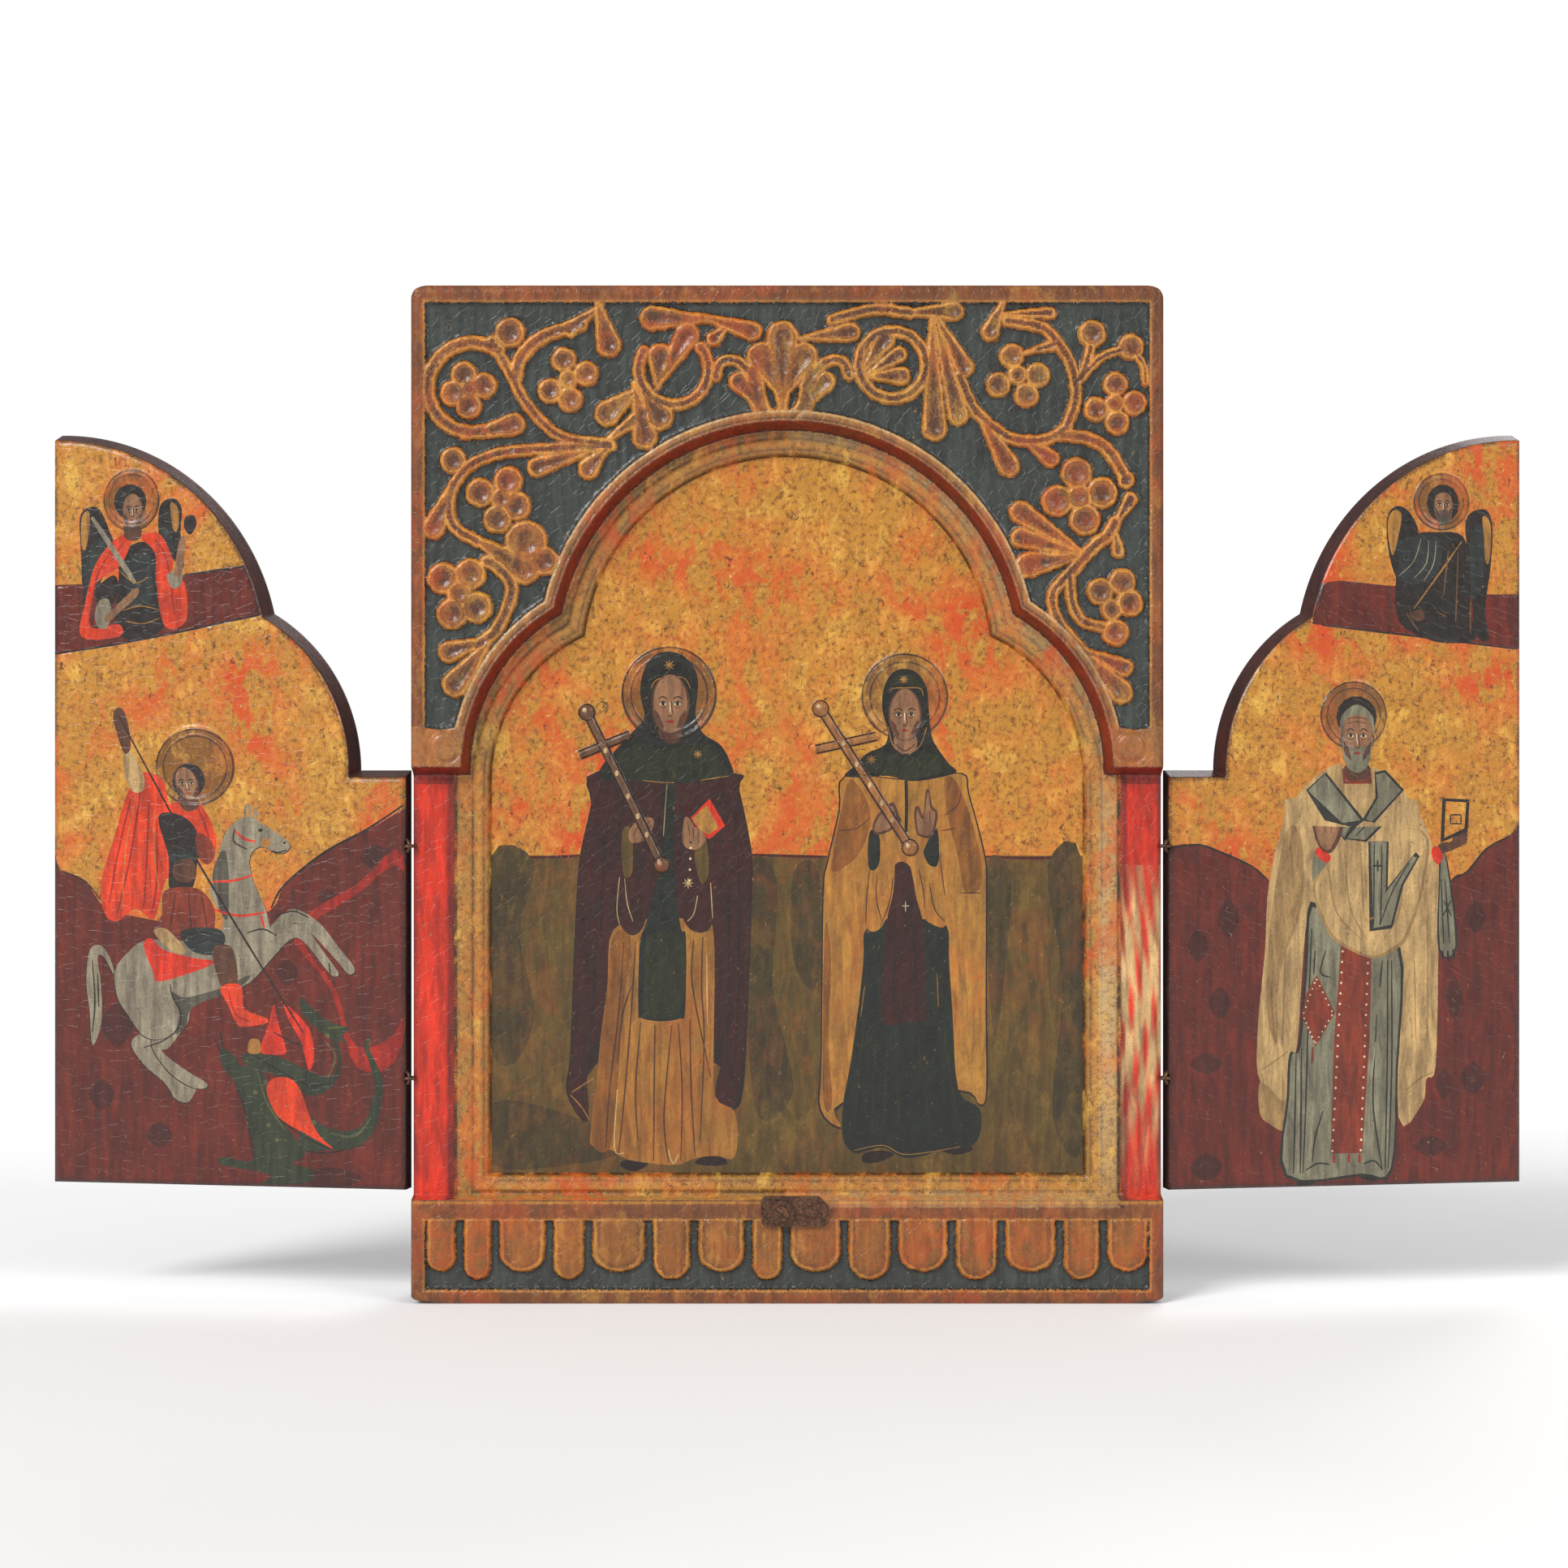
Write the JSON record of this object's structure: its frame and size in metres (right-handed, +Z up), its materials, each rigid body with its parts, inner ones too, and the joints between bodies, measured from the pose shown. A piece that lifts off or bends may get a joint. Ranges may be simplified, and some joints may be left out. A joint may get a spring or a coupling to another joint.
{
  "type": "triptych altarpiece",
  "caption": "Small carved and painted wooden triptych: a thick board with a sunk arched picture, two painted wings on wire-eye hinges that fold into its recess, and a turn-button.",
  "frame": {"origin": "middle of the board's underside, which it stands on", "axes": "+X to the right of someone facing the picture, +Y towards the back, +Z up"},
  "size_m": [0.4646, 0.0376, 0.314],
  "materials": {
    "carved_board": "carved wood, gilded, painted and varnished, worn and patinated",
    "wing_board": "gesso, gilding and tempera on a thin board, worn at the edges",
    "iron": "dark hand-drawn wire and plate with brown rust"
  },
  "bodies": {
    "board": {"centre_panel": "carved_board", "left_board_eye_lower": "iron", "left_board_eye_upper": "iron", "right_board_eye_lower": "iron", "right_board_eye_upper": "iron", "button_screw": "iron"},
    "left_wing": {"left_wing": "wing_board", "left_wing_eye_lower": "iron", "left_wing_eye_upper": "iron"},
    "right_wing": {"right_wing": "wing_board", "right_wing_eye_lower": "iron", "right_wing_eye_upper": "iron"},
    "button": {"turn_button": "iron", "button_washer": "iron", "button_rivet": "iron"}
  },
  "joints": [
    {"name": "left_wing_hinge", "type": "hinge", "parent": "board", "child": "left_wing", "pos_m": [-0.1173, -0.00605, 0.105], "axis": [0, 0, 1], "range_deg": [0, 190]},
    {"name": "right_wing_hinge", "type": "hinge", "parent": "board", "child": "right_wing", "pos_m": [0.1173, -0.00605, 0.105], "axis": [0, 0, -1], "range_deg": [0, 190]},
    {"name": "button_pivot", "type": "hinge", "parent": "board", "child": "button", "pos_m": [-0.00185, -0.0139, 0.02825], "axis": [0, -1, 0], "continuous": true}
  ]
}
